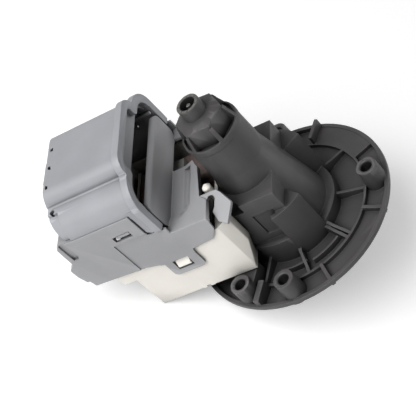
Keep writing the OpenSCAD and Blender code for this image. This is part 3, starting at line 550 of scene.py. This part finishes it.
def wound_wire(name, colour):
    """Enamelled copper: metal under a clear coat, with painted shade between the turns."""
    material, tree, shader = new_material(name)
    point = object_point(tree)
    tint = spread(tree, noise(tree, point, 0.003, 3), 0, 1)
    wire = mixed(tree, tint, scaled(colour, 0.7), scaled(colour, 1.25))
    # Painted shade: the wire darkens between the turns and deep in the coil
    tree.links.new(shaded(tree, wire, colour, DEEP_SHADE), shader.inputs["Base Color"])
    tree.links.new(spread(tree, tint, 0.28, 0.42, 0, 1), shader.inputs["Roughness"])
    shader.inputs["Metallic"].default_value = 0.75
    shader.inputs["Coat Weight"].default_value = 0.5
    shader.inputs["Coat Roughness"].default_value = 0.15
    return material


def tape_finish(name, colour):
    """Polyester tape: even, slightly glossy, with fine creases across the wrap."""
    material, tree, shader = new_material(name)
    point = object_point(tree)
    creases = noise(tree, point, 0.0015, 3, (0.25, 1, 1))
    tape = mixed(tree, spread(tree, creases, 0, 1), scaled(colour, 0.85), scaled(colour, 1.12))
    # Painted shade: the tape darkens where other parts close round it
    tree.links.new(shaded(tree, tape, colour, DEEP_SHADE), shader.inputs["Base Color"])
    tree.links.new(spread(tree, creases, 0.32, 0.48), shader.inputs["Roughness"])
    bump(tree, shader, creases, 0.25, 0.0001)
    return material


# Pieces


def square_can_end(piece):
    """Gives the end of the can six flats between its ribs, in place of a round collar."""
    corner, bore, collar_radius = 0.01265, 0.0095, 0.02
    turn, gap = math.radians(30), 2e-5
    flats_span, bore_span = (0.0786, 0.0892), (0.078, 0.09)
    collar_span, clear_span = (0.0881, 0.092), (0.088, 0.093)
    flats = prism(6, corner, *flats_span, turn)
    combine(flats, prism(48, bore, *bore_span), "DIFFERENCE")
    combine(piece, flats, "UNION")
    collar = prism(64, collar_radius, *collar_span)
    combine(collar, prism(6, corner + gap, *clear_span, turn), "DIFFERENCE")
    combine(piece, collar, "DIFFERENCE")


def paint_stub_glint(piece, material):
    """Gives the stub in the bore of the tip tube a material of its own: bright tinned metal as a painted
    glint on the housing's plastic.
    """
    reach, bore_floor = 0.0017, 0.0925
    piece.data.materials.append(material)
    for face in piece.data.polygons:
        if face.center.xy.length < reach and face.center.z > bore_floor:
            face.material_index = 1


class PUMP_OT_housing(bpy.types.Operator):
    """Round the housing's moulded edges and give it dark plastic"""

    bl_idname = "pump.housing"
    bl_label = "Pump housing"

    def execute(self, context):
        colours, sizes = context.scene.pump_colours, context.scene.pump_sizes
        # Deep painted shade in recesses and a strong painted highlight on edge crests
        plastic = moulded_plastic(
            "Dark moulded plastic", colours.housing, 0.44, 0.1, sizes.grain, 0.35,
            recess=DEEP_SHADE, edge_highlight=0.8,
        )
        piece = moulded("pump_housing", sizes.housing_round, plastic, carve=square_can_end)
        # Painted highlight: the plastic stub in the tip tube gets bright tinned metal for its glint
        paint_stub_glint(piece, metal_finish("Stub painted glint", colours.tin, 0.3, (1, 1, 0.2)))
        return {"FINISHED"}


class PUMP_OT_case(bpy.types.Operator):
    """Round the stator case's edges and give it cream plastic"""

    bl_idname = "pump.case"
    bl_label = "Stator case"

    def execute(self, context):
        colours, sizes = context.scene.pump_colours, context.scene.pump_sizes
        # Strong painted shade in recesses and a faint painted highlight on edge crests
        plastic = moulded_plastic(
            "Cream plastic", colours.case, 0.45, 0.03, sizes.grain, 0.15, recess=0.85, edge_highlight=0.05
        )
        moulded("stator_case", sizes.case_round, plastic)
        return {"FINISHED"}


def cove_shelf(piece):
    """Hollows the foot of the bank beside the shelf's pocket into a cove."""
    radius, length = 0.0024, 0.0252
    middle = (-0.0268, -0.0098, 0.0600)
    bpy.ops.object.select_all(action="DESELECT")
    bpy.ops.mesh.primitive_cylinder_add(
        vertices=24, radius=radius, depth=length, location=middle, rotation=(math.pi / 2, 0, 0)
    )
    combine(piece, bpy.context.object, "DIFFERENCE")


class PUMP_OT_frame(bpy.types.Operator):
    """Round the terminal frame's edges and give it pale grey plastic"""

    bl_idname = "pump.frame"
    bl_label = "Terminal frame"

    def execute(self, context):
        colours, sizes = context.scene.pump_colours, context.scene.pump_sizes
        plastic = moulded_plastic(
            "Pale frame plastic", colours.frame, 0.4, 0.05, sizes.grain, 0.2, recess=DEEP_SHADE
        )
        moulded("terminal_frame", sizes.frame_round, plastic, carve=cove_shelf)
        return {"FINISHED"}


class PUMP_OT_hood(bpy.types.Operator):
    """Round the plug hood's edges and give it pale grey plastic"""

    bl_idname = "pump.hood"
    bl_label = "Plug hood"

    def execute(self, context):
        colours, sizes = context.scene.pump_colours, context.scene.pump_sizes
        plastic = moulded_plastic(
            "Pale hood plastic", colours.hood, 0.36, 0.05, sizes.grain, 0.15, recess=0.95
        )
        moulded("terminal_hood", sizes.hood_round, plastic)
        return {"FINISHED"}


class PUMP_OT_terminals(bpy.types.Operator):
    """Finish the terminal block and the tinned blades"""

    bl_idname = "pump.terminals"
    bl_label = "Terminals"

    def execute(self, context):
        colours, sizes = context.scene.pump_colours, context.scene.pump_sizes
        plastic = moulded_plastic(
            "Natural block plastic", colours.natural, 0.5, 0.04, sizes.grain, 0.15, recess=DEEP_SHADE
        )
        moulded("terminal_block", sizes.small_round, plastic)
        dress_node("spade_terminals", metal_finish("Tinned blade", colours.tin, 0.32, (0.1, 1, 1)))
        return {"FINISHED"}


class PUMP_OT_coils(bpy.types.Operator):
    """Wind both coils in copper, wrap them in tape and finish their formers"""

    bl_idname = "pump.coils"
    bl_label = "Coils"

    def execute(self, context):
        colours, sizes = context.scene.pump_colours, context.scene.pump_sizes
        wire = wound_wire("Enamelled copper wire", colours.wire)
        tape = tape_finish("Insulating tape", colours.tape)
        former = moulded_plastic(
            "Natural former plastic", colours.natural, 0.5, 0.04, sizes.grain, 0.15, recess=DEEP_SHADE
        )
        for side in ("left", "right"):
            winding = wind_coil(f"coil_turns_{side}", f"coil_winding_{side}", sizes.wire_pitch)
            dress(winding, wire)
            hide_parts(f"coil_winding_{side}")
            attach(winding, "housing")
            wrap = wrap_coil(f"coil_tape_{side}", f"coil_winding_{side}", sizes.tape_share)
            dress(wrap, tape)
            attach(wrap, "housing")
            dress_node(f"coil_former_{side}", former)
        switch = moulded_plastic("Switch body", colours.switch, 0.5, 0.06, sizes.grain, 0.15)
        moulded("thermal_protector", sizes.small_round, switch)
        return {"FINISHED"}


def wind_coil(name, node, pitch):
    """Turns of wire in the space of a winding: one rounded turn, repeated along the leg."""
    low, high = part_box(node)
    skin, corner, wall = 0.0004, 0.003, 0.0036
    wire_round = 0.35
    width, height = high.y - low.y - 2 * skin, high.z - low.z - 2 * skin
    turns = int((high.x - low.x) / pitch)
    step = (high.x - low.x) / turns
    middle = (low + high) / 2
    bpy.ops.object.select_all(action="DESELECT")
    bpy.ops.mesh.primitive_plane_add(size=1)
    piece = bpy.context.object
    piece.name = name
    bpy.ops.object.mode_set(mode="EDIT")
    bpy.ops.mesh.select_all(action="SELECT")
    bpy.ops.transform.resize(value=(height, width, 1))
    bpy.ops.mesh.bevel(offset=corner, segments=4, affect="VERTICES", clamp_overlap=False)
    bpy.ops.mesh.select_all(action="SELECT")
    bpy.ops.mesh.inset(thickness=wall, depth=0)
    bpy.ops.mesh.delete(type="FACE")
    bpy.ops.mesh.select_all(action="SELECT")
    bpy.ops.mesh.extrude_region_move(TRANSFORM_OT_translate={"value": (0, 0, step)})
    mesh = bmesh.from_edit_mesh(piece.data)
    outer = [e for e in mesh.edges if e.is_manifold and is_rim(e, height / 2, width / 2, wall / 2)]
    bpy.ops.mesh.select_all(action="DESELECT")
    for e in outer:
        e.select = True
    bmesh.update_edit_mesh(piece.data)
    bpy.ops.mesh.bevel(offset=wire_round * step, segments=2, clamp_overlap=True)
    bpy.ops.mesh.select_all(action="SELECT")
    bpy.ops.mesh.normals_make_consistent(inside=False)
    leave_edit()
    array = piece.modifiers.new("Turns", "ARRAY")
    array.count = turns
    array.use_relative_offset = False
    array.use_constant_offset = True
    array.constant_offset_displace = (0, 0, step)
    bpy.ops.object.modifier_apply(modifier=array.name)
    turn = Matrix(((0, 0, 1, low.x), (0, 1, 0, middle.y), (-1, 0, 0, middle.z), (0, 0, 0, 1)))
    piece.data.transform(turn)
    bpy.ops.object.shade_smooth_by_angle(angle=SMOOTH_ANGLE)
    return piece


def is_rim(edge, half_height, half_width, depth):
    """True for an edge round the outside of a turn, not along the wire's axis."""
    a, b = (v.co for v in edge.verts)
    if abs(a.z - b.z) > LEVEL:
        return False
    mid = (a + b) / 2
    return abs(mid.x) > half_height - depth or abs(mid.y) > half_width - depth


def wrap_coil(name, node, share):
    """Tape round a winding, with one lap that lies lower than those beside it."""
    low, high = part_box(node)
    length = share * (high.x - low.x)
    middle = (low + high) / 2
    corner, thickness, lap_depth = 0.003, 0.0004, 0.00018
    lap_start, lap_end, last_seam = -0.32, 0.02, 0.36
    bpy.ops.object.select_all(action="DESELECT")
    bpy.ops.mesh.primitive_cube_add(size=1, location=(0, 0, 0))
    piece = bpy.context.object
    piece.name = name
    bpy.ops.object.mode_set(mode="EDIT")
    bpy.ops.mesh.select_all(action="SELECT")
    bpy.ops.transform.resize(value=(length, high.y - low.y, high.z - low.z))
    mesh = bmesh.from_edit_mesh(piece.data)
    bpy.ops.mesh.select_all(action="DESELECT")
    for e in mesh.edges:
        along = e.verts[0].co - e.verts[1].co
        e.select = abs(along.x) > 0.5 * length
    bmesh.update_edit_mesh(piece.data)
    bpy.ops.mesh.bevel(offset=corner, segments=5, clamp_overlap=True)
    mesh = bmesh.from_edit_mesh(piece.data)
    bpy.ops.mesh.select_all(action="DESELECT")
    for f in mesh.faces:
        f.select = abs(f.normal.x) > 0.9
    bmesh.update_edit_mesh(piece.data)
    bpy.ops.mesh.delete(type="FACE")
    for share_x in (lap_start, lap_end, last_seam):
        bpy.ops.mesh.select_all(action="SELECT")
        bpy.ops.mesh.bisect(plane_co=(share_x * length, 0, 0), plane_no=(1, 0, 0))
    mesh = bmesh.from_edit_mesh(piece.data)
    for v in mesh.verts:
        place = v.co.x / length
        inset = lap_depth if lap_start < place < lap_end else 0
        v.co.y -= math.copysign(inset, v.co.y)
        v.co.z -= math.copysign(inset, v.co.z)
    bmesh.update_edit_mesh(piece.data)
    leave_edit()
    thick = piece.modifiers.new("Thickness", "SOLIDIFY")
    thick.thickness = thickness
    thick.offset = -1
    bpy.ops.object.modifier_apply(modifier=thick.name)
    piece.data.transform(Matrix.Translation(middle))
    bpy.ops.object.shade_smooth_by_angle(angle=SMOOTH_ANGLE)
    return piece


class PUMP_OT_stator(bpy.types.Operator):
    """Finish the sheet stack and its rivets"""

    bl_idname = "pump.stator"
    bl_label = "Stator core"

    def execute(self, context):
        colours = context.scene.pump_colours
        dress_node("stator_core", sheet_stack("Core sheets", colours.sheets, SHEET_THICKNESS))
        dress_node("core_rivets", metal_finish("Rivet steel", colours.steel, 0.35, (1, 1, 1)))
        return {"FINISHED"}


class PUMP_OT_rotor(bpy.types.Operator):
    """Finish the shaft line: shaft, magnet, sleeve, bushes, washers and holder"""

    bl_idname = "pump.rotor"
    bl_label = "Rotor and bearings"

    def execute(self, context):
        colours, sizes = context.scene.pump_colours, context.scene.pump_sizes
        dress_node("rotor_shaft", metal_finish("Ground shaft steel", colours.steel, 0.22, (1, 1, 0.05)))
        ferrite = speckled("Ferrite", colours.magnet, scaled(colours.magnet, 2.2), 0.0006, 0.55, 0.1)
        dress_node("rotor_magnet", ferrite)
        sleeve = moulded_plastic("Rotor plastic", colours.impeller, 0.5, 0.08, sizes.grain, 0.2)
        dress_node("rotor_sleeve", sleeve)
        bronze = speckled("Sintered bronze", colours.bronze, scaled(colours.bronze, 1.9), 0.0004, 0.4, 0.85)
        for node in ("front_bearing", "rear_bearing"):
            dress_node(node, bronze)
        washer = moulded_plastic("Washer plastic", colours.natural, 0.45, 0.03, sizes.grain, 0.1)
        dress_node("thrust_washers", washer)
        holder = moulded_plastic("Holder plastic", colours.impeller, 0.5, 0.08, sizes.grain, 0.3, 0.4)
        moulded("bearing_holder", sizes.small_round, holder)
        return {"FINISHED"}


class PUMP_OT_impeller(bpy.types.Operator):
    """Round the impeller's vanes and finish its cap, dog and dampers"""

    bl_idname = "pump.impeller"
    bl_label = "Impeller"

    def execute(self, context):
        colours, sizes = context.scene.pump_colours, context.scene.pump_sizes
        plastic = moulded_plastic("Impeller plastic", colours.impeller, 0.45, 0.1, sizes.grain, 0.25, 0.45)
        for node in ("impeller", "impeller_cap"):
            moulded(node, sizes.small_round, plastic, "impeller")
        dog = moulded_plastic("Dog plastic", colours.natural, 0.45, 0.04, sizes.grain, 0.1)
        dress_node("drive_dog", dog)
        dress_node("coupling_damper", rubber_finish("Damper rubber", colours.rubber))
        return {"FINISHED"}


class PUMP_OT_seals(bpy.types.Operator):
    """Give the O-ring, the shaft seal and the bearing mount their rubber"""

    bl_idname = "pump.seals"
    bl_label = "Seals"

    def execute(self, context):
        rubber = rubber_finish("Seal rubber", context.scene.pump_colours.rubber)
        for node in ("flange_seal", "shaft_seal", "rear_bearing_mount"):
            dress_node(node, rubber)
        return {"FINISHED"}


# Studio


CAMERA_PLACE = Vector((0.2136, -0.3643, 0.3935))
CAMERA_RIGHT = Vector((0.8314907, 0.0104820, -0.5554397))
CAMERA_UP = Vector((0.3477663, 0.7698643, 0.5351332))
CAMERA_BACK = Vector((0.4332225, -0.6381215, 0.6364898))
SENSOR_WIDTH = 36
FLOOR_GAP = 0.0002
FLOOR_GLOW = 0.3
FLOOR_COLOUR = (0.9, 0.9, 0.9, 1)


def seen_by_camera(tree):
    """1 for what the camera sees straight, 0 for light that bounces."""
    return tree.nodes.new("ShaderNodeLightPath").outputs["Is Camera Ray"]


class PUMP_OT_stage(bpy.types.Operator):
    """Set the camera, the pale floor, two softboxes and white surroundings"""

    bl_idname = "pump.stage"
    bl_label = "Stage"

    def execute(self, context):
        studio = context.scene.pump_studio
        upright = Vector((math.sin(studio.tilt), 0, math.cos(studio.tilt)))
        lay_floor(studio, upright)
        hang_lamps(studio, upright)
        set_world(context.scene, studio)
        set_camera(context.scene, studio)
        context.scene.view_settings.view_transform = "Standard"
        return {"FINISHED"}


def lay_floor(studio, upright):
    """A wide floor under the lowest point of the leaning pump."""
    lowest = min(upright.dot(v.co) for node in NODES.values() for v in node.data.vertices)
    bpy.ops.object.select_all(action="DESELECT")
    bpy.ops.mesh.primitive_grid_add(x_subdivisions=4, y_subdivisions=4, size=studio.floor_side)
    floor = bpy.context.object
    floor.name = "studio_floor"
    turn = upright.to_track_quat("Z", "Y").to_matrix().to_4x4()
    floor.data.transform(Matrix.Translation(upright * (lowest - FLOOR_GAP)) @ turn)
    material = bpy.data.materials.new("Pale floor")
    material.use_nodes = True
    tree = material.node_tree
    tree.nodes.clear()
    output = tree.nodes.new("ShaderNodeOutputMaterial")
    matt = tree.nodes.new("ShaderNodeBsdfDiffuse")
    matt.inputs["Color"].default_value = FLOOR_COLOUR
    glow = tree.nodes.new("ShaderNodeEmission")
    both = tree.nodes.new("ShaderNodeAddShader")
    clear = tree.nodes.new("ShaderNodeBsdfTransparent")
    side = tree.nodes.new("ShaderNodeMixShader")
    seen = seen_by_camera(tree)
    strength = tree.nodes.new("ShaderNodeMath")
    strength.operation = "MULTIPLY"
    strength.inputs[1].default_value = FLOOR_GLOW
    tree.links.new(seen, strength.inputs[0])
    tree.links.new(strength.outputs[0], glow.inputs["Strength"])
    tree.links.new(matt.outputs[0], both.inputs[0])
    tree.links.new(glow.outputs[0], both.inputs[1])
    geometry = tree.nodes.new("ShaderNodeNewGeometry")
    behind = tree.nodes.new("ShaderNodeMath")
    behind.operation = "MULTIPLY"
    tree.links.new(seen, behind.inputs[0])
    tree.links.new(geometry.outputs["Backfacing"], behind.inputs[1])
    tree.links.new(behind.outputs[0], side.inputs["Fac"])
    tree.links.new(both.outputs[0], side.inputs[1])
    tree.links.new(clear.outputs[0], side.inputs[2])
    tree.links.new(side.outputs[0], output.inputs["Surface"])
    floor.data.materials.append(material)


def hang_lamps(studio, upright):
    """A large softbox at the left of the camera and a smaller one at the right."""
    centre = (cad_low + cad_high) / 2
    from_left = CAMERA_BACK * 0.7 - CAMERA_RIGHT * 0.6 + upright * 0.25
    from_right = CAMERA_RIGHT * 0.8 + CAMERA_UP * 0.45 + CAMERA_BACK * 0.1
    for name, power, side, heading, distance in (
        ("key_softbox", studio.key_power, 0.8, from_left, 0.95),
        ("fill_softbox", studio.fill_power, 0.6, from_right, 0.9),
    ):
        lamp = bpy.data.lights.new(name, "AREA")
        lamp.energy = power
        lamp.size = side
        holder = bpy.data.objects.new(name, lamp)
        heading = heading.normalized()
        holder.matrix_world = Matrix.LocRotScale(
            centre + heading * distance, heading.to_track_quat("Z", "Y"), None
        )
        bpy.context.scene.collection.objects.link(holder)


def set_world(scene, studio):
    """White surroundings, dimmer as a light than as a background."""
    world = bpy.data.worlds.new("White surroundings")
    scene.world = world
    world.use_nodes = True
    tree = world.node_tree
    tree.nodes.clear()
    output = tree.nodes.new("ShaderNodeOutputWorld")
    sky = tree.nodes.new("ShaderNodeBackground")
    sky.inputs["Color"].default_value = (1, 1, 1, 1)
    seen = seen_by_camera(tree)
    level = tree.nodes.new("ShaderNodeMapRange")
    level.inputs["To Min"].default_value = studio.sky
    level.inputs["To Max"].default_value = 1
    tree.links.new(seen, level.inputs["Value"])
    tree.links.new(level.outputs["Result"], sky.inputs["Strength"])
    tree.links.new(sky.outputs[0], output.inputs["Surface"])


def set_camera(scene, studio):
    """The camera that was fitted to the photo."""
    data = bpy.data.cameras.new("photo_camera")
    data.lens = studio.lens
    data.sensor_width = SENSOR_WIDTH
    data.clip_start, data.clip_end = 0.01, 20
    camera = bpy.data.objects.new("photo_camera", data)
    turn = Matrix((CAMERA_RIGHT, CAMERA_UP, CAMERA_BACK)).transposed()
    camera.matrix_world = Matrix.Translation(CAMERA_PLACE) @ turn.to_4x4()
    scene.collection.objects.link(camera)
    scene.camera = camera


class PUMP_PT_panel(bpy.types.Panel):
    """Sidebar panel with the colours, sizes and steps"""

    bl_idname = "PUMP_PT_panel"
    bl_label = "Drain Pump"
    bl_space_type = "VIEW_3D"
    bl_region_type = "UI"
    bl_category = "Drain Pump"

    def draw(self, context):
        for group in ("pump_colours", "pump_sizes", "pump_studio"):
            holder = getattr(context.scene, group)
            box = self.layout.box()
            for key in holder.__annotations__:
                box.prop(holder, key)
        for step in STEPS:
            self.layout.operator(step.bl_idname)


GROUPS = {"pump_colours": PumpColours, "pump_sizes": PumpSizes, "pump_studio": PumpStudio}
STEPS = (
    PUMP_OT_housing, PUMP_OT_case, PUMP_OT_frame, PUMP_OT_hood, PUMP_OT_terminals, PUMP_OT_coils,
    PUMP_OT_stator, PUMP_OT_rotor, PUMP_OT_impeller, PUMP_OT_seals, PUMP_OT_stage,
)


def register():
    for group in (*GROUPS.values(), *STEPS, PUMP_PT_panel):
        bpy.utils.register_class(group)
    for name, group in GROUPS.items():
        setattr(bpy.types.Scene, name, PointerProperty(type=group))


def unregister():
    for name in GROUPS:
        delattr(bpy.types.Scene, name)
    for group in reversed((*GROUPS.values(), *STEPS, PUMP_PT_panel)):
        bpy.utils.unregister_class(group)


def main():
    register()
    for step in STEPS:
        family, name = step.bl_idname.split(".")
        getattr(getattr(bpy.ops, family), name)()


if __name__ == "__main__":
    main()
